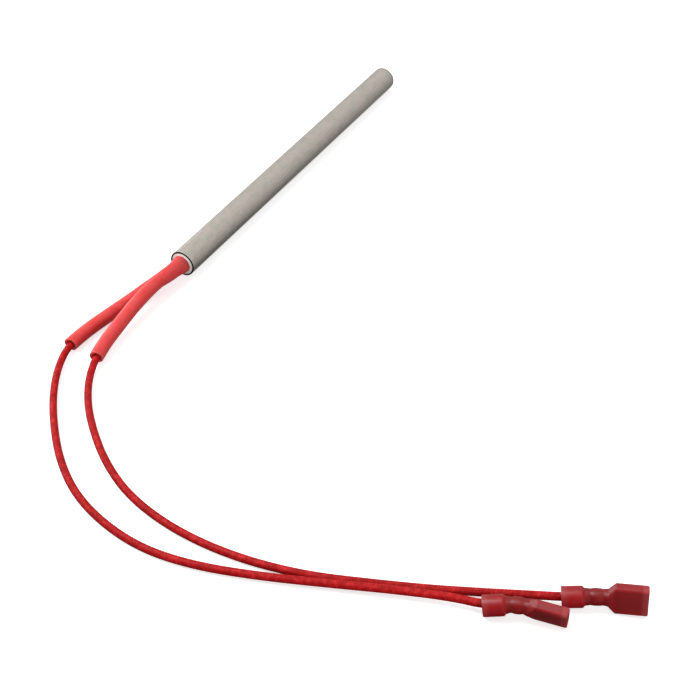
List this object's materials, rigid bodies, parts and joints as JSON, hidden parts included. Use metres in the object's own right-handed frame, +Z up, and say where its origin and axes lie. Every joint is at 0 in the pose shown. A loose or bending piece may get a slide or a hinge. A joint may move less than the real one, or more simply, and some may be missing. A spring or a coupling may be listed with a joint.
{
  "type": "pellet stove igniter",
  "caption": "Cartridge igniter for a pellet stove: steel sheath with potted end, silicone sleeves, braided leads and insulated push-on tab connectors.",
  "frame": {"origin": "centre of the sheath's open end, on the sheath's axis", "axes": "+X along the sheath to its closed tip, +Z up from the surface that the igniter lies on"},
  "size_m": [0.2605, 0.2035, 0.0098],
  "materials": {
    "sheath_steel": "satin stainless steel, drawn and annealed, with a faint warm tint and light handling marks",
    "seal_cement": "cast cement, matt and slightly rough",
    "magnesia": "fired magnesia, matt",
    "heating_alloy": "bare resistance wire",
    "nickel": "bare nickel",
    "tinned_copper": "tinned strands",
    "tinned_brass": "tin plated, bright",
    "silicone": "satin silicone, coral red",
    "lead_braid": "fine lacquered glass braid, dark red",
    "red_nylon": "translucent moulded nylon, smooth"
  },
  "bodies": {
    "root": {"sheath_tube": "sheath_steel", "tip_plug": "sheath_steel", "end_seal": "seal_cement", "tip_spacer": "magnesia", "lead_end_cap": "magnesia", "ceramic_core": "magnesia", "magnesia_fill": "magnesia", "heating_coil": "heating_alloy", "inner_terminal_pin": "nickel", "outer_terminal_pin": "nickel", "inner_splice": "nickel", "outer_splice": "nickel", "inner_conductor": "tinned_copper", "outer_conductor": "tinned_copper", "inner_lead": "lead_braid", "outer_lead": "lead_braid", "inner_sleeve": "silicone", "outer_sleeve": "silicone", "inner_housing": "red_nylon", "outer_housing": "red_nylon", "inner_receptacle": "tinned_brass", "outer_receptacle": "tinned_brass"}
  },
  "joints": []
}
